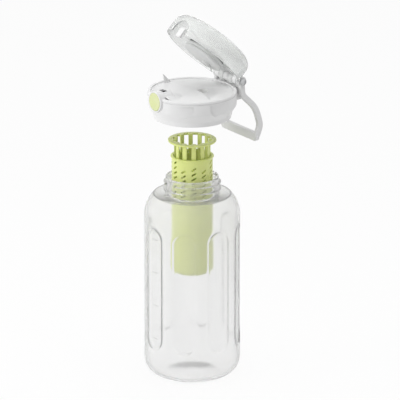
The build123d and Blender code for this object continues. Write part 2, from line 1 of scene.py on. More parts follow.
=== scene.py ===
# %% [markdown]
# # A fruit infuser water bottle
# This lesson dresses a water bottle with a green fruit infuser, a flip-top lid and a carry strap.
# The solids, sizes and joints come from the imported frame. Blender adds smooth surfaces, soft edges
# and finishes. Sizes in this file are in millimetres and are turned to metres when a piece is made.

import json
import math

import bpy
from mathutils import Matrix, Vector

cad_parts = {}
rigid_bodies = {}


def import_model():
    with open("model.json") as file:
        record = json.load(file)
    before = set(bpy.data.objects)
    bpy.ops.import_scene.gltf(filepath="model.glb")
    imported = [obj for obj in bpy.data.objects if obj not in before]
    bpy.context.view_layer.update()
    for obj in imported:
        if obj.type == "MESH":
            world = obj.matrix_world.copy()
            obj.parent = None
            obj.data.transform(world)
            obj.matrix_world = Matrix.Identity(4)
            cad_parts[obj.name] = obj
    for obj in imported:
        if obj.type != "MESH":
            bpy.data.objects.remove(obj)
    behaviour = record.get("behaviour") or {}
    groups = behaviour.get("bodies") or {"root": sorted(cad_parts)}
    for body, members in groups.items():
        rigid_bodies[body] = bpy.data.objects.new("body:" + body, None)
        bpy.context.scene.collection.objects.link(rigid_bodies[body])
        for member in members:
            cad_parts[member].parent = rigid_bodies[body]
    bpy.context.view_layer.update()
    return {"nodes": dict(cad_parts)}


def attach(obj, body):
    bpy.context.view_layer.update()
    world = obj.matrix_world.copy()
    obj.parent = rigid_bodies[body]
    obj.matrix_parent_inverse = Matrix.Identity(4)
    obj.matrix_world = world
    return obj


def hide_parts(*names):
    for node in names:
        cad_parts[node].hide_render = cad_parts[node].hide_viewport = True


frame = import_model()
MM = 0.001
print("solids loaded:", len(frame["nodes"]))

# %% [markdown]
# ## Heights that many pieces share
# The bottle stands on the origin. The lid hangs above the neck, so its heights are counted from its
# own lower edge. The flip cap is drawn shut and is then turned open about the hinge pin.

# %% Shared heights and radii
BODY_RADIUS = 46.0
BODY_WALL = 2.4
RING_Z = 181.816
NECK_TOP = 198.916
NECK_RADIUS = 25.55
LID_Z = 258.216
LID_TOP_Z = LID_Z + 26.4
DECK_Z = LID_TOP_Z - 1.0
BUTTON_Z = LID_Z + 22.0
HINGE_Y = 43.6
HINGE_Z = LID_TOP_Z + 5.7
CAP_OPEN = math.radians(45.5)
SPIN_WELD = 0.005
CAD_WELD = 0.001
NEARLY_STRAIGHT = math.radians(178)

# %% [markdown]
# ## Small tools for modelling
# Most of this bottle is round, so most pieces start as one corner that is extruded along a profile
# and spun about the upright axis, as on a lathe. The helpers below do this, round the profile's
# corners, and finish each piece the same way.


# %% Tools for profiles
def rounded(points, radii, steps=5):
    """A profile with its corners rounded; points and radii in mm, ends of an open profile kept."""
    result = [points[0]]
    for before, here, after, radius in zip(points, points[1:], points[2:], radii[1:-1]):
        here_v, back, ahead = Vector(here), Vector(before), Vector(after)
        to_back, to_ahead = (back - here_v).normalized(), (ahead - here_v).normalized()
        angle = to_back.angle(to_ahead)
        if radius == 0 or angle > NEARLY_STRAIGHT:
            result.append(here)
            continue
        reach = radius / math.tan(angle / 2)
        centre = here_v + (to_back + to_ahead).normalized() * radius / math.sin(angle / 2)
        first, last = here_v + to_back * reach - centre, here_v + to_ahead * reach - centre
        turn = first.angle_signed(last)
        for step in range(steps + 1):
            spoke = first.copy()
            spoke.rotate(Matrix.Rotation(-turn * step / steps, 2))
            result.append(tuple(centre + spoke))
    result.append(points[-1])
    return result


def ring_of(points, radii, steps=5):
    """A closed outline with every corner rounded."""
    return rounded([points[-1]] + points + [points[0]], [0] + radii + [0], steps)[1:-1]


def drawn(name, corners):
    """A line of corners in mm, drawn by extruding one corner from place to place."""
    bpy.ops.object.select_all(action="DESELECT")
    bpy.ops.mesh.primitive_plane_add(size=MM, location=(0, 0, 0))
    piece = bpy.context.object
    piece.name = name
    bpy.ops.object.mode_set(mode="EDIT")
    bpy.ops.mesh.merge(type="CENTER")
    bpy.ops.transform.translate(value=Vector(corners[0]) * MM)
    for here, there in zip(corners, corners[1:]):
        move = (Vector(there) - Vector(here)) * MM
        bpy.ops.mesh.extrude_vertices_move(TRANSFORM_OT_translate={"value": move})
    bpy.ops.object.mode_set(mode="OBJECT")
    return piece


def spun(name, profile, steps=128):
    """Spins a profile of (radius, height) points about Z, as on a lathe."""
    piece = drawn(name, [(radius, 0, height) for radius, height in profile])
    bpy.ops.object.mode_set(mode="EDIT")
    bpy.ops.mesh.select_all(action="SELECT")
    bpy.ops.mesh.spin(steps=steps, angle=2 * math.pi, center=(0, 0, 0), axis=(0, 0, 1))
    bpy.ops.mesh.select_all(action="SELECT")
    bpy.ops.mesh.remove_doubles(threshold=SPIN_WELD * MM)
    bpy.ops.mesh.normals_make_consistent(inside=False)
    bpy.ops.object.mode_set(mode="OBJECT")
    return piece


def slab(name, outline, depth, place):
    """A face with this outline in XY, given a depth along Z and put in its place."""
    piece = drawn(name, [(x, y, -depth / 2) for x, y in outline])
    bpy.ops.object.mode_set(mode="EDIT")
    bpy.ops.mesh.select_all(action="SELECT")
    bpy.ops.mesh.edge_face_add()
    bpy.ops.mesh.extrude_region_move(TRANSFORM_OT_translate={"value": (0, 0, depth * MM)})
    bpy.ops.mesh.select_all(action="SELECT")
    bpy.ops.mesh.normals_make_consistent(inside=False)
    bpy.ops.object.mode_set(mode="OBJECT")
    piece.matrix_world = place
    settle(piece)
    return piece


def block(name, low, high):
    """A cube stretched between two corners in mm."""
    bpy.ops.object.select_all(action="DESELECT")
    bpy.ops.mesh.primitive_cube_add(size=1)
    piece = bpy.context.object
    piece.name = name
    piece.scale = [(b - a) * MM for a, b in zip(low, high)]
    piece.location = [(a + b) / 2 * MM for a, b in zip(low, high)]
    settle(piece)
    return piece


def rod(name, radius, start, end, segments=48):
    """A cylinder between two points in mm."""
    start, end = Vector(start) * MM, Vector(end) * MM
    bpy.ops.object.select_all(action="DESELECT")
    bpy.ops.mesh.primitive_cylinder_add(
        vertices=segments,
        radius=radius * MM,
        depth=(end - start).length,
        location=(start + end) / 2,
    )
    piece = bpy.context.object
    piece.name = name
    piece.rotation_euler = (end - start).to_track_quat("Z", "Y").to_euler()
    settle(piece)
    return piece


def facing(angle, distance, height):
    """A place on the bottle's side: the angle runs from -Y to +X, and local Z points outwards."""
    turn = math.radians(angle)
    along = Vector((math.cos(turn), math.sin(turn), 0))
    away = Vector((math.sin(turn), -math.cos(turn), 0))
    axes = Matrix((along, (0, 0, 1), away)).transposed().to_4x4()
    return Matrix.Translation((away * distance + Vector((0, 0, height))) * MM) @ axes


# %% Tools for finishing a piece
def only(piece):
    """Selects one object and makes it active."""
    bpy.ops.object.select_all(action="DESELECT")
    piece.select_set(True)
    bpy.context.view_layer.objects.active = piece


def settle(piece):
    """Puts the object's place into its mesh, so that its origin is the frame's."""
    only(piece)
    bpy.ops.object.transform_apply(location=True, rotation=True, scale=True)


def modify(piece, kind, **settings):
    """Adds one modifier with its settings and applies it."""
    only(piece)
    modifier = piece.modifiers.new(kind.title(), kind)
    for name, value in settings.items():
        setattr(modifier, name, value)
    bpy.ops.object.modifier_apply(modifier=modifier.name)


def copied(piece, place):
    """A copy with its own mesh, moved by a matrix."""
    twin = piece.copy()
    twin.data = piece.data.copy()
    bpy.context.scene.collection.objects.link(twin)
    twin.matrix_world = place @ piece.matrix_world
    settle(twin)
    return twin


def cut(piece, *cutters):
    """Cuts the cutters out of a piece and deletes them."""
    for cutter in cutters:
        settle(cutter)
        modify(piece, "BOOLEAN", operation="DIFFERENCE", object=cutter, solver="MANIFOLD")
        bpy.data.objects.remove(cutter)


def joined(name, *pieces):
    """Joins several meshes into the first one."""
    for piece in pieces:
        settle(piece)
    bpy.ops.object.select_all(action="DESELECT")
    for piece in pieces:
        piece.select_set(True)
    bpy.context.view_layer.objects.active = pieces[0]
    bpy.ops.object.join()
    pieces[0].name = name
    return pieces[0]


def bevel_edges(piece, width, angle=40, segments=3):
    """Rounds every edge sharper than the angle."""
    modify(
        piece,
        "BEVEL",
        width=width * MM,
        segments=segments,
        limit_method="ANGLE",
        angle_limit=math.radians(angle),
    )


def dress(piece, body, material, nodes=(), smooth=35):
    """Shades a piece, gives it its finish and ties it to its body and the solids it stands for."""
    settle(piece)
    bpy.ops.object.shade_smooth_by_angle(angle=math.radians(smooth))
    piece.data.materials.clear()
    piece.data.materials.append(material)
    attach(piece, body)
    if nodes:
        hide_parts(*nodes)
    print(piece.name, "triangles:", sum(len(p.vertices) - 2 for p in piece.data.polygons))


def smooth_copy(node_name, body, material, slot):
    """A merged and smoothly shaded copy of a solid whose shape needs no more work."""
    source = frame["nodes"][node_name]
    piece = source.copy()
    piece.data = source.data.copy()
    bpy.context.scene.collection.objects.link(piece)
    piece.parent = None
    piece.name = node_name + "_dressed"
    only(piece)
    bpy.ops.object.mode_set(mode="EDIT")
    bpy.ops.mesh.select_all(action="SELECT")
    bpy.ops.mesh.remove_doubles(threshold=CAD_WELD * MM)
    bpy.ops.object.mode_set(mode="OBJECT")
    dress(piece, body, material, (node_name,), 30)


# %% [markdown]
# ## Finishes
# Each finish is named for the real material. One function turns a hex colour, as a paint program
# shows it, into the linear numbers that Blender works with. Another adds one node to a material.


# %% Tools for finishes
def linear(code):
    """Linear colour from an sRGB hex code."""
    channels = [int(code[i : i + 2], 16) / 255 for i in (1, 3, 5)]
    return [c / 12.92 if c <= 0.04045 else ((c + 0.055) / 1.055) ** 2.4 for c in channels] + [1.0]


def add(material, kind, settings=None, links=None):
    """Adds a node, sets its values and links its inputs."""
    node = material.node_tree.nodes.new(kind)
    for name, value in (settings or {}).items():
        if isinstance(name, int) or name in node.inputs:
            node.inputs[name].default_value = value
        else:
            setattr(node, name, value)
    for name, source in (links or {}).items():
        material.node_tree.links.new(source, node.inputs[name])
    return node


def new_finish(name):
    """An empty material, its shader and its output."""
    material = bpy.data.materials.new(name)
    material.use_nodes = True
    material.node_tree.nodes.clear()
    shader = add(material, "ShaderNodeBsdfPrincipled")
    output = add(material, "ShaderNodeOutputMaterial", links={"Surface": shader.outputs[0]})
    return material, shader, output


# Sizes in moulded plastic, in mm: its flow of colour, its softened edges and the depth of its glow.
FLOW_SIZE = 18.0
SOFT_EDGE = 0.25
GLOW_DEPTH = 2.0
MOULDED_IOR = 1.49
# Real mould grain is about 0.1 mm, too fine to show, so it is drawn six times as coarse.
MOULD_GRAIN = 0.6


def moulded_plastic(
    name, colour, shade, roughness, grain=MOULD_GRAIN, depth=0.02, coat=0.0, glow=0.0
):
    """Injection-moulded plastic: faint flow of colour, fine grain, soft edges and a little glow."""
    material, shader, _ = new_finish(name)
    place = add(material, "ShaderNodeTexCoord")
    flow = add(
        material,
        "ShaderNodeTexNoise",
        {"Scale": 1 / (FLOW_SIZE * MM), "Detail": 3.0, "Roughness": 0.5},
        {"Vector": place.outputs["Object"]},
    )
    tint = add(
        material,
        "ShaderNodeMix",
        {"data_type": "RGBA", 6: linear(colour), 7: linear(shade)},
        {"Factor": flow.outputs["Fac"]},
    )
    fine = add(
        material,
        "ShaderNodeTexNoise",
        {"Scale": 1 / (grain * MM), "Detail": 2.0, "Roughness": 0.6},
        {"Vector": place.outputs["Object"]},
    )
    gloss = add(
        material,
        "ShaderNodeMapRange",
        {"To Min": roughness * 0.85, "To Max": roughness * 1.15},
        {"Value": fine.outputs["Fac"]},
    )
    edge = add(material, "ShaderNodeBevel", {"samples": 4, "Radius": SOFT_EDGE * MM})
    bump = add(
        material,
        "ShaderNodeBump",
        {"Strength": 0.25, "Distance": depth * MM},
        {"Height": fine.outputs["Fac"], "Normal": edge.outputs[0]},
    )
    tree = material.node_tree
    tree.links.new(tint.outputs[2], shader.inputs["Base Color"])
    tree.links.new(gloss.outputs[0], shader.inputs["Roughness"])
    tree.links.new(bump.outputs[0], shader.inputs["Normal"])
    shader.inputs["IOR"].default_value = MOULDED_IOR
    shader.inputs["Coat Weight"].default_value = coat
    shader.inputs["Coat Roughness"].default_value = 0.08
    shader.inputs["Subsurface Weight"].default_value = glow
    shader.inputs["Subsurface Scale"].default_value = GLOW_DEPTH * MM
    shader.inputs["Subsurface Radius"].default_value = (0.8, 1.0, 0.3)
    return material


# Lower than clear plastic's usual 1.5 to 1.6, which keeps the edges pale.
CLEAR_IOR = 1.45


def hazy_plastic(name, face, edge, roughness, clearness, sharpness):
    """Milky clear plastic with painted shade that darkens it where the eye meets it at a slant.

    Lamplight passes through it, so that it casts almost no shadow on what stands inside it.
    """
    material, shader, output = new_finish(name)
    # Painted shade: the colour turns to the edge grey where the surface is seen at a slant.
    slant = add(material, "ShaderNodeLayerWeight", {"Blend": 0.5})
    bend = add(
        material,
        "ShaderNodeMath",
        {"operation": "POWER", 1: sharpness},
        {0: slant.outputs["Facing"]},
    )
    tint = add(
        material,
        "ShaderNodeMix",
        {"data_type": "RGBA", 6: linear(face), 7: linear(edge)},
        {"Factor": bend.outputs[0]},
    )
    material.node_tree.links.new(tint.outputs[2], shader.inputs["Base Color"])
    shader.inputs["Transmission Weight"].default_value = clearness
    shader.inputs["Roughness"].default_value = roughness
    shader.inputs["IOR"].default_value = CLEAR_IOR
    path = add(material, "ShaderNodeLightPath")
    through = add(material, "ShaderNodeBsdfTransparent", {"Color": (0.96, 0.96, 0.96, 1.0)})
    mixed = add(
        material,
        "ShaderNodeMixShader",
        links={0: path.outputs["Is Shadow Ray"], 1: shader.outputs[0], 2: through.outputs[0]},
    )
    material.node_tree.links.new(mixed.outputs[0], output.inputs["Surface"])
    return material


# %% The finishes of this bottle
# Clear copolyester, blow-moulded: a soft haze, pale reflections, and painted grey shade at its
# edges.
clear_copolyester = hazy_plastic(
    "clear_copolyester_blow_moulded", "#FFFFFF", "#BFC3C2", 0.13, clearness=0.87, sharpness=6.0
)
# The same plastic with a frosted mould, for the cap: nearly white, with deeper painted grey shade at
# its edges.
frosted_copolyester_painted_edges = hazy_plastic(
    "frosted_copolyester_painted_edge_shade", "#FCFDFC", "#AEB2B1", 0.17, clearness=0.76, sharpness=4.0
)
# Lime green polypropylene, moulded: it lets a little light in, so its shadows stay light.
lime_polypropylene = moulded_plastic(
    "lime_polypropylene_moulded", "#E1E994", "#DBE488", 0.38, coat=0.15, glow=0.1
)
# The same polypropylene with a fine matt grain, paler on the button.
lime_button = moulded_plastic(
    "lime_polypropylene_grained", "#E6EAC6", "#D2DA98", 0.5, grain=0.9, depth=0.25, glow=0.1
)
# White ABS with a polished mould: even, with a clean sheen.
white_abs = moulded_plastic("white_abs_polished", "#E8E8E8", "#E4E4E4", 0.34, coat=0.1)
# White ABS with a satin mould, inside the lid.
white_abs_satin = moulded_plastic("white_abs_satin", "#DFE0DF", "#DBDCDB", 0.5)
# ABS with a satin mould behind the puck, coloured dark grey as painted shade for the shadowed gap
# between the puck and the cap.
shade_painted_abs = moulded_plastic("abs_satin_painted_shade", "#3C3E3E", "#363838", 0.5)
# Light grey elastomer, over-moulded: satin, a little uneven.
grey_elastomer = moulded_plastic("grey_elastomer_satin", "#E4E4E4", "#DEDEDE", 0.5, depth=0.04)
# White silicone, soft and matt.
white_silicone = moulded_plastic("white_silicone_matt", "#D6D7D6", "#D0D1D0", 0.55, depth=0.03)
# Turned stainless steel: bright, with soft reflections.
steel, steel_shader, _ = new_finish("stainless_steel_turned")
steel_shader.inputs["Metallic"].default_value = 1.0
steel_shader.inputs["Base Color"].default_value = linear("#C4C5C6")
steel_shader.inputs["Roughness"].default_value = 0.3
print("finishes:", len(bpy.data.materials))

# %% [markdown]
# ## The camera, the floor and the light
# The photograph was taken with a long lens, from the front right and a little above. The floor and
# the world are white to the camera and in reflections, while the light on the object is gentler.

# %% Camera
VIEW_AZIMUTH = math.radians(55)
VIEW_HEIGHT = math.radians(18)
# Nine metres off, so that the lens is long. Other views keep the lens, and from much further off
# the bottle would lie past the distance at which their cameras stop seeing.
DISTANCE = 9000.0
FRAME_WIDTH = 383.1
SENSOR = 36.0
target = Vector((4.29, 6.12, 174.0)) * MM
direction = Vector(
    (
        math.sin(VIEW_AZIMUTH) * math.cos(VIEW_HEIGHT),
        -math.cos(VIEW_AZIMUTH) * math.cos(VIEW_HEIGHT),
        math.sin(VIEW_HEIGHT),
    )
)
camera_data = bpy.data.cameras.new("camera")
camera_data.sensor_width = SENSOR
camera_data.lens = SENSOR * DISTANCE / FRAME_WIDTH
camera_data.clip_end = 50.0
camera = bpy.data.objects.new("camera", camera_data)
bpy.context.scene.collection.objects.link(camera)
camera.location = target + direction * DISTANCE * MM
camera.rotation_euler = direction.to_track_quat("Z", "Y").to_euler()
bpy.context.scene.camera = camera
print("lens:", round(camera_data.lens, 1), "mm")

# %% World and floor
# Levels of the world's light on the object, and of the white that covers the floor.
WORLD_LEVEL = 0.6
FLOOR_WHITE = 0.9
world = bpy.data.worlds.new("studio")
bpy.context.scene.world = world
world.use_nodes = True
world.node_tree.nodes.clear()


def seen_directly(owner):
    """A value that is 1 for rays that show the background: to the camera, in gloss, in glass."""
    path = add(owner, "ShaderNodeLightPath")
    value = path.outputs["Is Camera Ray"]
    for kind in ("Is Glossy Ray", "Is Transmission Ray"):
        links = {0: value, 1: path.outputs[kind]}
        value = add(owner, "ShaderNodeMath", {"operation": "MAXIMUM"}, links).outputs[0]
    return value


level = add(
    world,
    "ShaderNodeMapRange",
    {"To Min": WORLD_LEVEL, "To Max": 1.0},
    {"Value": seen_directly(world)},
)
sky = add(
    world, "ShaderNodeBackground", {"Color": (1, 1, 1, 1)}, {"Strength": level.outputs[0]}
)
add(world, "ShaderNodeOutputWorld", links={"Surface": sky.outputs[0]})

bpy.ops.object.select_all(action="DESELECT")
bpy.ops.mesh.primitive_plane_add(size=6.0, location=(0, 0, 0))
floor = bpy.context.object
floor.name = "floor"
floor_finish, floor_shader, floor_output = new_finish("floor_paper")
floor_shader.inputs["Base Color"].default_value = linear("#F4F4F4")
floor_shader.inputs["Roughness"].default_value = 0.9
floor.data.materials.append(floor_finish)
white = add(floor_finish, "ShaderNodeEmission", {"Color": (1, 1, 1, 1), "Strength": 1.0})
share = add(
    floor_finish,
    "ShaderNodeMath",
    {"operation": "MULTIPLY", 1: FLOOR_WHITE},
    {0: seen_directly(floor_finish)},
)
mixed = add(
    floor_finish,
    "ShaderNodeMixShader",
    links={0: share.outputs[0], 1: floor_shader.outputs[0], 2: white.outputs[0]},
)
floor_finish.node_tree.links.new(mixed.outputs[0], floor_output.inputs["Surface"])


# %% Lamps
LAMP_AIM = Vector((0, 0, 0.2))


def soft_lamp(name, place, size, power):
    """A square soft box, placed in metres, that looks at the middle of the bottle."""
    data = bpy.data.lights.new(name, "AREA")
    data.size = size
    data.energy = power
    lamp = bpy.data.objects.new(name, data)
    bpy.context.scene.collection.objects.link(lamp)
    lamp.location = place
    lamp.rotation_euler = (lamp.location - LAMP_AIM).to_track_quat("Z", "Y").to_euler()
    lamp.visible_glossy = False
    lamp.visible_transmission = False


soft_lamp("key_left", (-0.42, -1.44, 0.75), 0.6, 9.5)
soft_lamp("top", (0.1, 0.0, 1.6), 0.8, 7)

# %% [markdown]
# ## The clear body
# The real body is blown from clear plastic, with eight long hollows for the fingers. Cutting them
# with a boolean would leave hard edges that clear plastic makes worse. So the body is spun with
# many rings, and the corners of the mesh are then pressed in towards the floor of each hollow.

# %% Profile of the body
# The wall ends at WALL_TOP; SHOULDER and CORNER are the radii of its round ends.
WALL_TOP = 160.0
SHOULDER = 30.7
CORNER = 18.0
RING_RADIUS = 36.9
RING_DROP = 0.8
MOUTH_RADIUS = 22.2
SEAT_RADIUS = 23.7
SEAT_DEPTH = 2.2
RIDGE_OUT = 1.95


def arc_points(centre, radius, first, last, steps):
    """Points on an arc between two angles, in degrees from the first axis to the second."""
    turn = [math.radians(first + (last - first) * i / steps) for i in range(steps + 1)]
    return [(centre[0] + radius * math.cos(a), centre[1] + radius * math.sin(a)) for a in turn]


def wall_points(radius, step):
    """Points up the straight wall, close together only where the hollows are rounded."""
    ends = [(28.0, 46.0), (138.0, 156.0)]
    heights = [low + (high - low) * i / step for low, high in ends for i in range(step + 1)]
    heights += [56.0 + 10.0 * i for i in range(8)]
    return [(radius, height) for height in sorted(heights)]


def base_line():
    """Half of the base: the flat middle, the soft rise round it and the foot ring."""
    line = [(0, 2.0), (5.0, 2.0), (25.0, 0), (BODY_RADIUS - CORNER, 0)]
    return rounded(line, [0, 50, 50, 0], 6)


def ridge_points(middle):
    """Corners of a ridge round the neck."""
    out = NECK_RADIUS + RIDGE_OUT
    return [
        (NECK_RADIUS, middle - 1.1),
        (out, middle - 0.6),
        (out, middle + 0.6),
        (NECK_RADIUS, middle + 1.1),
    ]


lip_angle = math.degrees(math.asin((RING_Z - RING_DROP - WALL_TOP) / SHOULDER))
inner_angle = math.degrees(math.asin((RING_Z - BODY_WALL - WALL_TOP) / (SHOULDER - BODY_WALL)))
outer_profile = base_line()
outer_profile += arc_points((BODY_RADIUS - CORNER, CORNER), CORNER, -90, 0, 14)[1:]
outer_profile += wall_points(BODY_RADIUS, 26)
outer_profile += arc_points((BODY_RADIUS - SHOULDER, WALL_TOP), SHOULDER, 0, lip_angle, 14)
neck_line = [outer_profile[-1], (RING_RADIUS, RING_Z - RING_DROP)]
neck_line += [(RING_RADIUS, RING_Z), (NECK_RADIUS, RING_Z)]
neck_line += ridge_points(NECK_TOP - 12.5) + ridge_points(NECK_TOP - 6.1)
neck_line += [(NECK_RADIUS, NECK_TOP), (SEAT_RADIUS, NECK_TOP)]
neck_line += [(SEAT_RADIUS, NECK_TOP - SEAT_DEPTH), (MOUTH_RADIUS, NECK_TOP - SEAT_DEPTH)]
neck_line += [(MOUTH_RADIUS, RING_Z - BODY_WALL)]
neck_rounding = [0.0, 0.15, 0.25, 0.8] + [0.4] * 8 + [0.7, 0.5, 0.3, 0.3, 0.0]
outer_profile += rounded(neck_line, neck_rounding, 3)[1:]
inner_profile = arc_points(
    (BODY_RADIUS - SHOULDER, WALL_TOP), SHOULDER - BODY_WALL, inner_angle, 0, 14
)
inner_profile += wall_points(BODY_RADIUS - BODY_WALL, 12)[::-1]
inner_profile += arc_points((BODY_RADIUS - CORNER, CORNER), CORNER - BODY_WALL, 0, -90, 12)
inner_profile += [(0, BODY_WALL + 2.0)]
print("rings in the body:", len(outer_profile) + len(inner_profile))

# %% Spin the body and press in the hollows
body = spun("bottle_wall", outer_profile + inner_profile, 384)
GRIP_HALF = 10.75
GRIP_LOW, GRIP_HIGH = 32.6, 152.3
GRIP_FLOOR = 43.626
GRIP_STEP = math.radians(45)
# Widths over which a hollow's edge is eased on the outer and on the inner wall.
EDGE_OUTSIDE = 1.9
EDGE_INSIDE = 6.0
# Half the angle of a gap in the upper ridge.
GAP_HALF = math.radians(17)


def smooth_step(value):
    """Eases from 0 to 1."""
    value = min(1.0, max(0.0, value))
    return value * value * (3 - 2 * value)


def press_hollow(vertex):
    """Moves one corner of the wall towards the floor of the nearest hollow."""
    x, y, z = (c / MM for c in vertex.co)
    radius = math.hypot(x, y)
    if not (GRIP_LOW - 4 < z < GRIP_HIGH + 4 and radius > 40):
        return
    outside = radius > BODY_RADIUS - BODY_WALL / 2
    floor_out = GRIP_FLOOR if outside else GRIP_FLOOR - BODY_WALL
    panel = round(math.atan2(x, -y) / GRIP_STEP) * GRIP_STEP
    angle = math.atan2(x, -y) - panel
    across, out = radius * math.sin(angle), radius * math.cos(angle)
    along = max(0.0, GRIP_LOW + GRIP_HALF - z, z - GRIP_HIGH + GRIP_HALF)
    edge = GRIP_HALF - math.hypot(across, along)
    softness = EDGE_OUTSIDE if outside else EDGE_INSIDE
    if out > floor_out:
        out += (floor_out - out) * smooth_step((edge + softness / 2) / softness)
    vertex.co.x = (out * math.sin(panel) + across * math.cos(panel)) * MM
    vertex.co.y = (-out * math.cos(panel) + across * math.sin(panel)) * MM


def open_ridge(vertex):
    """Flattens the upper ridge over two short arcs, where the lid's lugs drop in."""
    x, y, z = (c / MM for c in vertex.co)
    radius = math.hypot(x, y)
    side = abs(math.atan2(x, -y))
    in_gap = min(side, math.pi - side) < GAP_HALF
    if in_gap and NECK_TOP - 8 < z < NECK_TOP - 4 and radius > NECK_RADIUS + 0.05:
        vertex.co.x *= NECK_RADIUS / radius
        vertex.co.y *= NECK_RADIUS / radius


for vertex in body.data.vertices:
    press_hollow(vertex)
    open_ridge(vertex)
print("hollows pressed:", round(2 * math.pi / GRIP_STEP))

# %% [markdown]
# ## Raised marks
# Four short raised bars stand one above the other in the hollow below the button. One bar is a cube
# that is stretched and softened, and the others are copies of it.

# %% Raised marks
MARK_LOW, MARK_HIGH = 42.55, 43.45
MARK_STEP = 33.1
first_mark = block(
    "raised_mark", (-4.0, -GRIP_FLOOR - 0.4, MARK_LOW), (4.0, -GRIP_FLOOR + 0.1, MARK_HIGH)
)
bevel_edges(first_mark, 0.2)
marks = [first_mark]
for step in range(1, 4):
    marks.append(copied(first_mark, Matrix.Translation((0, 0, MARK_STEP * step * MM))))
body = joined("bottle_wall", body, *marks)
dress(body, "bottle", clear_copolyester, ("bottle_body",), 40)

# %% [markdown]
# ## The infuser basket
# The basket is one moulded cup with a rolled rim and rows of slanting slots. It is spun first, and
# one slot cutter, a stretched cylinder, is copied to every place and cut out in one go.

# %% Spin the basket
BASKET_TOP = 219.516
BASKET_LOW = BASKET_TOP - 117.0
SEAM_Z = BASKET_TOP - 47.0
SEAT_Z = 205.966
# Radii of the wall, the seam, the rim, the bore and the narrow seat of the crown.
BASKET = 19.7
SEAM = BASKET + 0.25
RIM = 20.75
BASKET_BORE = 18.1
CROWN_BORE = 16.05
basket_line = [
    (0, BASKET_LOW),
    (BASKET, BASKET_LOW),
    (BASKET, SEAM_Z - 0.6),
    (SEAM, SEAM_Z - 0.4),
    (SEAM, SEAM_Z + 0.4),
    (BASKET, SEAM_Z + 0.6),
    (BASKET, BASKET_TOP - 1.8),
    (RIM, BASKET_TOP - 1.3),
    (RIM, BASKET_TOP),
    (BASKET_BORE, BASKET_TOP),
    (BASKET_BORE, SEAT_Z),
    (CROWN_BORE, SEAT_Z),
    (CROWN_BORE, SEAT_Z - 1.6),
    (BASKET_BORE, SEAT_Z - 3.2),
    (BASKET_BORE, BASKET_LOW + 2.0),
    (0, BASKET_LOW + 2.0),
]
basket_rounding = [0, 6.0, 0.1, 0.1, 0.1, 0.1, 0.3, 0.4, 0.6, 0.5, 0.2, 0.3, 0.3, 0.5, 4.4, 0]
basket = spun("basket_cup", rounded(basket_line, basket_rounding), 144)


# %% Cut its slots
def slot_cutter(length, width):
    """A stadium bar that points along Z: a cylinder, half of which is drawn away along X."""
    bar = rod("slot_cutter", width / 2, (0, 0, -3.0), (0, 0, 3.0), 12)
    for vertex in bar.data.vertices:
        vertex.co.x += math.copysign((length - width) / 2, vertex.co.x) * MM
    return bar


# How far below the rim the first slot of each column lies, from the front round to the right.
FIRST_DROPS = [4.5, 11.8, 9.0, 12.0] + [4.5, 6.9] * 4
SLOT_STEP = 4.9
LAST_DROP = 44
slant = Matrix.Rotation(math.radians(33), 4, "Z")
pattern = slot_cutter(5.4, 1.8)
cutters = []
for column, first in enumerate(FIRST_DROPS):
    drop = first
    while drop < LAST_DROP:
        cutters.append(copied(pattern, facing(column * 30, 19.0, BASKET_TOP - drop) @ slant))
        drop += SLOT_STEP
drains = [
    rod("drain", 1.5, (*spot, BASKET_LOW - 1), (*spot, BASKET_LOW + 3), 16)
    for spot in arc_points((0, 0), 9.0, 0, 300, 5)
]
cut(basket, joined("slot_cutters", *cutters, *drains))
bpy.data.objects.remove(pattern)
dress(basket, "infuser", lime_polypropylene, ("infuser_basket",), 30)
print("slots:", len(cutters))

# %% [markdown]
# ## The infuser crown
# The crown stands in the basket and lifts it out. It is a spun flange and tube with twelve windows.
# One window is two boxes, one through the tube and one for the notch in the flange.

# %% Spin and cut the crown
FLANGE_Z = 233.616
CROWN_LOW = 206.016
# Radii of the tube, its foot and its flange.
CROWN = 17.45
FOOT = 18.05
FLANGE = 23.2
WINDOWS = 12
WINDOW_HALF = 2.4
crown_line = [
    (CROWN_BORE, CROWN_LOW),
    (FOOT, CROWN_LOW),
    (FOOT, CROWN_LOW + 4.2),
    (CROWN, CROWN_LOW + 4.2),
    (CROWN, FLANGE_Z),
    (FLANGE, FLANGE_Z),
    (FLANGE, FLANGE_Z + 1.8),
    (CROWN_BORE, FLANGE_Z + 1.8),
    (CROWN_BORE, CROWN_LOW),
]
crown = spun("crown_ring", rounded(crown_line, [0, 0.2, 0.1, 0.2, 0.4, 0.6, 0.6, 0.3, 0]), 144)
openings = []
for name, low, high, depth in (
    ("window", CROWN_LOW + 10.2, FLANGE_Z + 0.4, 1.6),
    ("notch", FLANGE_Z - 0.3, FLANGE_Z + 3.0, 1.9),
):
    opening = block(name, (-WINDOW_HALF, low, -3.0), (WINDOW_HALF, high, depth))
    ring = [copied(opening, facing(15 + 30 * i, 17.0, 0)) for i in range(WINDOWS)]
    openings.append(joined(name + "_ring", *ring))
    bpy.data.objects.remove(opening)
cut(crown, *openings)
print("windows:", WINDOWS)
dress(crown, "crown", lime_polypropylene, ("infuser_crown",), 30)

# %% [markdown]
# ## The lid shell
# The lid is a band on a narrower skirt. The band is spun with its fine groove, and four finger
# scallops are cut from it. A scallop cutter is a rounded plate that keeps only what lies outside
# the scallop's floor, so that the floor stays round like the band.

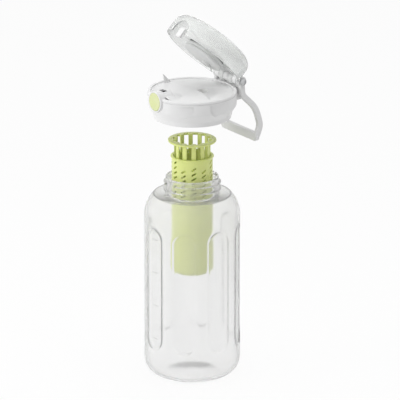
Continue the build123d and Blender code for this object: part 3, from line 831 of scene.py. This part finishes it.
# %% Spin the lid shell
# BAND and SKIRT are radii.
BAND = 42.65
BAND_INSIDE = 39.65
PLATE_Z = 276.716
SKIRT = 37.35
SKIRT_INSIDE = 35.05
GROOVE_LOW, GROOVE_HIGH = LID_TOP_Z - 3.0, LID_TOP_Z - 2.3
GROOVE_FLOOR = BAND - 0.5
shell_line = [
    (SKIRT_INSIDE, LID_Z),
    (SKIRT, LID_Z),
    (SKIRT, LID_Z + 4.5),
    (BAND, LID_Z + 12.5),
    (BAND, GROOVE_LOW),
    (GROOVE_FLOOR, GROOVE_LOW),
    (GROOVE_FLOOR, GROOVE_HIGH),
    (BAND, GROOVE_HIGH),
    (BAND, LID_TOP_Z),
    (BAND_INSIDE, LID_TOP_Z),
    (BAND_INSIDE, PLATE_Z),
    (SKIRT_INSIDE, LID_Z + 4.5),
    (SKIRT_INSIDE, LID_Z),
]
shell_rounding = [0, 0.5, 4.8, 4.8, 0.15, 0.1, 0.1, 0.15, 0.9, 0.5, 0.3, 2.0, 0]
lid_shell = spun("lid_band", rounded(shell_line, shell_rounding), 160)

# %% Cut the scallops
# Each scallop starts flush with the band and gets deeper towards the rib beside its neighbour.
# Each row is an angle from -Y towards +X and the side on which the rib lies, 1 or -1.
SCALLOPS = ((40, 1), (96, -1), (-40, -1), (-96, 1))
SCALLOP_MIDDLE = LID_Z + 16.3
SCALLOP_HALF = (12.5, 5.7)
SCALLOP_FLOOR = BAND - 0.8
SCALLOP_SHIFT = -4.0
across, up = SCALLOP_HALF
plate_corners = [(-across, up), (-across, -up), (across, -up), (across, up)]
plate_outline = ring_of(plate_corners, [0.6, 8.0, 8.0, 0.6])
sleeve_line = [(SCALLOP_FLOOR, LID_Z), (52, LID_Z), (52, LID_TOP_Z), (SCALLOP_FLOOR, LID_TOP_Z)]
sleeve_line += sleeve_line[:1]
scallops = []
for angle, rib_side in SCALLOPS:
    plate = slab("scallop", plate_outline, 12.0, facing(angle, 42.0, SCALLOP_MIDDLE))
    sleeve = spun("scallop_floor", sleeve_line, 160)
    turn = math.radians(angle)
    sleeve.location = Vector((math.cos(turn), math.sin(turn), 0)) * SCALLOP_SHIFT * rib_side * MM
    settle(sleeve)
    modify(plate, "BOOLEAN", operation="INTERSECT", object=sleeve, solver="MANIFOLD")
    bpy.data.objects.remove(sleeve)
    scallops.append(plate)
cut(lid_shell, *scallops)
cut(lid_shell, rod("button_hole", 9.9, (0, -44, BUTTON_Z), (0, -28, BUTTON_Z), 64))
print("scallops:", len(scallops))

# %% [markdown]
# ## The hinge knuckles
# Three knuckles of the lid and two of the cap share one steel pin. A knuckle of the lid is a
# rounded block with a foot on the band, drawn as an outline from the side and given its width.

# %% Knuckles on the lid
SIDEWAYS = Matrix(((0, 0, 1, 0), (1, 0, 0, 0), (0, 1, 0, 0), (0, 0, 0, 1)))
# Radius of a knuckle, and the places of the lid's three along X.
KNUCKLE = 5.5
LID_KNUCKLES = ((-16.4, -11.0), (-3.6, 3.6), (11.0, 16.4))


def knuckle(name, low, high, outline):
    """A block across the hinge from an outline of (Y, Z) points, between two places along X."""
    middle = Matrix.Translation(((low + high) / 2 * MM, 0, 0))
    piece = slab(name, outline, high - low, middle @ SIDEWAYS)
    bevel_edges(piece, 0.45, 30, 3)
    return piece


barrel = arc_points((HINGE_Y, HINGE_Z), KNUCKLE, 0, 205, 20)
foot = [(45.7, HINGE_Z - 5.2), (41.2, HINGE_Z - 5.9), (41.2, LID_Z + 13.0)]
foot += arc_points((45.6, LID_Z + 16.0), 3.0, -90, 0, 5)
lid_knuckles = [knuckle("lid_knuckle", low, high, foot + barrel) for low, high in LID_KNUCKLES]
lid_shell = joined("lid_band", lid_shell, *lid_knuckles)
dress(lid_shell, "lid", white_abs, ("lid_shell",), 32)

# %% [markdown]
# ## The deck
# The deck closes the lid. Its front half is a flat plateau and its back half a shallow hollow with
# the drinking hole. The change between them is soft, so the disc is spun with many rings and the
# corners in front of a long arc are lifted to the plateau. A dip behind the button is pressed in.

# %% Spin the deck and lift its plateau
HOLLOW_DEPTH = 2.2
HOLLOW_Z = DECK_Z - HOLLOW_DEPTH
HOLLOW_RADIUS = 37.15
DECK_RADIUS = 39.55
DECK_THICKNESS = 1.4
# The arc that bounds the plateau, and the dip behind the button: half widths in X and Y.
ARC_RADIUS = 65.0
ARC_FORWARD = 59.0
ARC_EASE = 1.8
DIP_HALF = (11.0, 3.4)
DIP_EASE = (3.0, 2.4)
DIP_Y = -20.2
DIP_DEPTH = 1.2
deck_line = [
    (float(r), HOLLOW_Z + HOLLOW_DEPTH * smooth_step((r - 20) / 17.15)) for r in range(0, 38)
]
deck_edge = [
    (HOLLOW_RADIUS, DECK_Z),
    (DECK_RADIUS, DECK_Z),
    (DECK_RADIUS, DECK_Z - DECK_THICKNESS),
    (HOLLOW_RADIUS, DECK_Z - DECK_THICKNESS),
]
deck_line += rounded(deck_edge, [0, 0.3, 0.2, 0])
deck_line += [(27.0, PLATE_Z + 1.45), (25.6, PLATE_Z + 1.45)]
deck_line += [(25.6, PLATE_Z + 0.05), (0, PLATE_Z + 0.05)]
deck = spun("deck_disc", deck_line, 160)
for vertex in deck.data.vertices:
    x, y, z = (c / MM for c in vertex.co)
    if z > HOLLOW_Z - 0.2 and math.hypot(x, y) < HOLLOW_RADIUS + 0.05:
        inside = ARC_RADIUS - math.hypot(x, y + ARC_FORWARD)
        lifted = z + (DECK_Z - z) * smooth_step((inside + ARC_EASE / 2) / ARC_EASE)
        dip = smooth_step((DIP_HALF[0] - abs(x)) / DIP_EASE[0])
        dip *= smooth_step((DIP_HALF[1] - abs(y - DIP_Y)) / DIP_EASE[1])
        vertex.co.z = (lifted - DIP_DEPTH * dip) * MM
cut(deck, block("button_room", (-9.9, -46, 270), (9.9, -27.7, 290)))
cut(deck, rod("drinking_hole", 5.5, (0, 12, 270), (0, 12, 290), 64))

# %% The small fin
fin_outline = [(-1.4, 0), (6.1, 0), (8.0, 9.5)]
fin = slab("deck_fin", fin_outline, 1.4, facing(-88.7, 36.7, DECK_Z - 0.1))
bevel_edges(fin, 0.25, 40, 2)
deck = joined("deck_disc", deck, fin)
dress(deck, "lid", white_abs, ("lid_deck",), 32)

# %% [markdown]
# ## The button housing
# A short tube holds the button, and a soft mound covers it and runs down to the deck. The mound is
# a grid whose corners are lifted to the round of the tube in the middle and eased to the deck.

# %% Tube and mound
ALONG_Y = Matrix.Rotation(math.radians(-90), 4, "X")
# Heights on the button's axis are counted back from here.
FRONT_Y = -50.0
BUTTON_RADIUS = 8.75
TUBE_BORE = 8.85
TUBE_RADIUS = 10.2
# The mound's width, the radius of its front edge, its back edge in Y and its two heights.
MOUND_WIDTH = 32.0
MOUND_ROUND = 38.2
MOUND_BACK = -22.4
MOUND_TOP = 6.3
FLANK_TOP = 2.8


def button_ring(name, line):
    """A lathe piece round the button's axis; heights are distances behind FRONT_Y."""
    piece = spun(name, line, 96)
    piece.matrix_world = Matrix.Translation((0, FRONT_Y * MM, BUTTON_Z * MM)) @ ALONG_Y
    settle(piece)
    return piece


tube_line = [(0, 21.2), (TUBE_BORE, 21.2), (TUBE_BORE, 7.2), (TUBE_RADIUS, 7.2)]
tube_line += [(TUBE_RADIUS, 12.8), (9.8, 12.8), (9.8, 22.2), (0, 22.2)]
tube = button_ring("button_tube", tube_line)

bpy.ops.object.select_all(action="DESELECT")
bpy.ops.mesh.primitive_grid_add(x_subdivisions=72, y_subdivisions=48, size=1)
mound = bpy.context.object
mound.name = "button_mound"
for vertex in mound.data.vertices:
    x = vertex.co.x * MOUND_WIDTH
    front = -math.sqrt(MOUND_ROUND**2 - x * x)
    y = front + (vertex.co.y + 0.5) * (MOUND_BACK - front)
    over_tube = math.sqrt(max(0.0, TUBE_RADIUS**2 - x * x)) - (DECK_Z - BUTTON_Z)
    flank = FLANK_TOP * smooth_step((MOUND_WIDTH / 2 - abs(x)) / 9.0)
    rise = max(min(over_tube, MOUND_TOP), flank) * smooth_step((MOUND_BACK - y) / 6.4)
    vertex.co = Vector((x, y, DECK_Z + 0.05 + rise)) * MM
modify(mound, "SOLIDIFY", thickness=0.35 * MM, offset=-1.0)
catch_slot = block("catch_slot", (-3.9, -36.7, BUTTON_Z), (3.9, -31.2, BUTTON_Z + 12))
cut(mound, copied(catch_slot, Matrix()))
cut(tube, catch_slot)
housing = joined("button_tube", tube, mound)
dress(housing, "lid", white_abs, ("latch_housing",), 40)

# %% The bezel and the button
bezel_line = [(TUBE_BORE, 7.2), (TUBE_BORE, 6.2), (TUBE_RADIUS, 6.2), (TUBE_RADIUS, 7.2)]
bezel_line += bezel_line[:1]
bezel = button_ring("bezel_ring", rounded(bezel_line, [0, 0.25, 0.5, 0.1, 0]))
dress(bezel, "lid", white_abs, ("button_bezel",))
button_line = [(0, 6.0), (6.9, 5.85), (7.3, 5.7), (BUTTON_RADIUS, 5.7), (BUTTON_RADIUS, 9.1)]
button_line += [(3.2, 9.1), (3.2, 11.2), (0, 11.2)]
button = button_ring("button_cap", rounded(button_line, [0, 0.3, 0.3, 1.1, 0.2, 0.1, 0.1, 0]))
dress(button, "button", lime_button, ("release_button",))

# %% [markdown]
# ## The flip cap
# The cap is drawn shut, as it sits on the lid, and then turned open about the pin. Its dome is a
# spun shell with an arch at the front for the button housing, and room at the back for the hinge.

# %% Spin the dome and cut its arch
# The dome's radius, and how far its middle lies behind the bottle's axis.
CAP = 42.0
CAP_SHIFT = 3.3
CAP_WALL = 1.6
CAP_LOW, CAP_TOP = HINGE_Z - 4.4, HINGE_Z + 17.8
# Rooms for the lid's knuckles, for the strap's eyes and for the cap's knuckles: radius, low, high.
HINGE_ROOMS = (
    (5.9, -16.8, -10.6),
    (5.9, -4.0, 4.0),
    (5.9, 10.6, 16.8),
    (6.3, -23.6, -16.4),
    (6.3, 16.4, 23.6),
    (5.6, -10.9, -3.7),
    (5.6, 3.7, 10.9),
)


def opened(piece):
    """Turns a piece of the shut cap open about the hinge pin."""
    pin = Matrix.Translation((0, HINGE_Y * MM, HINGE_Z * MM))
    swing = pin @ Matrix.Rotation(-CAP_OPEN, 4, "X") @ pin.inverted()
    piece.matrix_world = swing @ piece.matrix_world
    settle(piece)


def set_back(piece, distance):
    """Moves a piece back along Y by a distance in mm."""
    piece.location.y = distance * MM
    settle(piece)


def across_hinge(name, radius, low, high):
    """A bar along the pin between two places."""
    return rod(name, radius, (low, HINGE_Y, HINGE_Z), (high, HINGE_Y, HINGE_Z))


cap_line = [(0, CAP_TOP), (CAP, CAP_TOP), (CAP, CAP_LOW), (CAP - CAP_WALL, CAP_LOW)]
cap_line += [(CAP - CAP_WALL, CAP_TOP - CAP_WALL), (0, CAP_TOP - CAP_WALL)]
dome = spun("cap_dome", rounded(cap_line, [0, 9.6, 0.6, 0.6, 8.0, 0], 10), 160)
set_back(dome, CAP_SHIFT)
cut(dome, rod("arch", 10.0, (0, -39.7, HINGE_Z - 1.6), (0, -28.7, HINGE_Z - 1.6), 64))
cut(dome, *[across_hinge("room", radius, low, high) for radius, low, high in HINGE_ROOMS])
opened(dome)
dress(dome, "cap", frosted_copolyester_painted_edges, ("cap_shell",), 32)

# %% [markdown]
# ## The stopper
# A soft round puck hangs under the cap and closes the drinking hole. It has a groove round its
# side, a small knob on its face and a disc behind it that holds it, coloured dark as painted
# shade for the gap behind the puck.

# %% Puck, carrier and knob
PUCK_TOP, PUCK_LOW = HINGE_Z - 0.2, HINGE_Z - 6.4
PUCK_MIDDLE = (PUCK_TOP + PUCK_LOW) / 2
# PUCK, PUCK_GROOVE, CARRIER and KNOB are radii.
PUCK, PUCK_GROOVE = 20.9, 19.9
PUCK_BACK = 3.8
CARRIER, CARRIER_TOP = 19.4, HINGE_Z + 1.7
KNOB, KNOB_LOW, KNOB_TOP = 4.4, PUCK_LOW - 2.6, PUCK_LOW + 0.1
KNOB_BACK = 12.0
puck_line = [
    (0, PUCK_LOW),
    (PUCK, PUCK_LOW),
    (PUCK, PUCK_MIDDLE - 1.0),
    (PUCK_GROOVE, PUCK_MIDDLE - 0.5),
    (PUCK_GROOVE, PUCK_MIDDLE + 0.5),
    (PUCK, PUCK_MIDDLE + 1.0),
    (PUCK, PUCK_TOP),
    (0, PUCK_TOP),
]
puck = spun("stopper_disc", rounded(puck_line, [0, 1.2, 0.3, 0.3, 0.3, 0.3, 1.2, 0]), 128)
set_back(puck, PUCK_BACK)
opened(puck)
dress(puck, "cap", white_silicone, ("stopper_puck",))
carrier_line = [(0, PUCK_TOP), (CARRIER, PUCK_TOP), (CARRIER, CARRIER_TOP), (0, CARRIER_TOP)]
carrier = spun("stopper_holder", rounded(carrier_line, [0, 0.3, 0.3, 0]), 96)
set_back(carrier, PUCK_BACK)
opened(carrier)
# The holder is coloured dark as painted shade for the gap behind the puck.
dress(carrier, "cap", shade_painted_abs, ("stopper_carrier",))
knob_line = [(0, KNOB_LOW), (KNOB, KNOB_LOW), (KNOB, KNOB_TOP), (0, KNOB_TOP)]
knob = spun("stopper_plug", rounded(knob_line, [0, 0.7, 0, 0]), 48)
set_back(knob, KNOB_BACK)
opened(knob)
dress(knob, "cap", white_silicone, ("stopper_knob",))

# %% [markdown]
# ## The carry strap
# The strap is a bent loop: two legs that hang from the pin and a broad bar at the bottom. One leg
# is a line of corners extruded along its route, drawn out sideways to a ribbon and thickened.

# %% Legs, eyes and bar
BAR_BACK, BAR_DROP = 12.58, 56.0
BAR_HALF = 4.3
# Radius of the eye on the pin.
EYE = 4.8
route = [(0, 0), (0, -13.44), (14.45, -28.56), (17.85, -45.92), (BAR_BACK, -BAR_DROP)]
bent_route = rounded(route, [0, 8.0, 26.0, 12.0, 0], 10)
STRAP = 4.6
LEG_WIDTH = 5.8
LEG_PLACE = 19.0
SPLAY = math.radians(8)


def strap_leg(side):
    """One leg with its eye, on the side of X that has this sign."""
    corners = [(-STRAP / 2, y, z) for y, z in bent_route]
    leg = drawn("strap_leg", corners)
    bpy.ops.object.mode_set(mode="EDIT")
    bpy.ops.mesh.select_all(action="SELECT")
    bpy.ops.mesh.extrude_region_move(TRANSFORM_OT_translate={"value": (STRAP * MM, 0, 0)})
    bpy.ops.object.mode_set(mode="OBJECT")
    modify(leg, "SOLIDIFY", thickness=LEG_WIDTH * MM, offset=0.0)
    leg.rotation_euler.y = -SPLAY * side
    leg.location = Vector((LEG_PLACE * side, HINGE_Y, HINGE_Z)) * MM
    settle(leg)
    bevel_edges(leg, 1.1, 50, 4)
    low, high = LEG_PLACE * side - STRAP / 2, LEG_PLACE * side + STRAP / 2
    eye = across_hinge("strap_eye", EYE, low, high)
    bevel_edges(eye, 0.7, 50, 3)
    return joined("strap_leg", leg, eye)


reach = LEG_PLACE + BAR_DROP * math.sin(SPLAY) + STRAP / 2
bar_corners = [(-reach, -BAR_HALF), (reach, -BAR_HALF), (reach, BAR_HALF), (-reach, BAR_HALF)]
bar_place = Matrix.Translation(Vector((0, HINGE_Y + BAR_BACK, HINGE_Z - BAR_DROP)) * MM)
upright = bar_place @ Matrix.Rotation(math.radians(90), 4, "X")
bar = slab("strap_bar", ring_of(bar_corners, [3.8] * 4), STRAP, upright)
bevel_edges(bar, 0.9, 50, 4)
strap = joined("strap_loop", bar, strap_leg(1), strap_leg(-1))
dress(strap, "strap", grey_elastomer, ("carry_strap",), 40)

# %% [markdown]
# ## The remaining solids
# These pieces are small or hidden and already have their final shape, so a merged copy is shaded
# smoothly and finished.

# %% Dress the other pieces
# The spring keeps its own mesh and only gets its finish.
for row in (
    ("lock_sleeve", "lid", white_abs_satin, "white_satin"),
    ("mouth_seal", "seal_ring", white_silicone, "seal_rubber"),
    ("latch_slider", "button", white_abs_satin, "white_satin"),
    ("hinge_pin", "lid", steel, "steel_pin"),
    ("pin_heads", "lid", steel, "steel_pin"),
    ("cap_frame", "cap", white_abs_satin, "white_satin"),
    ("cap_catch", "cap", white_abs, "white_gloss"),
):
    smooth_copy(*row)
spring = frame["nodes"]["button_spring"]
spring.data.materials.clear()
spring.data.materials.append(steel)

# %% [markdown]
# ## Closing the lesson
# The colours are shown with the plain Standard view transform.

# %% View transform
bpy.context.scene.view_settings.view_transform = "Standard"
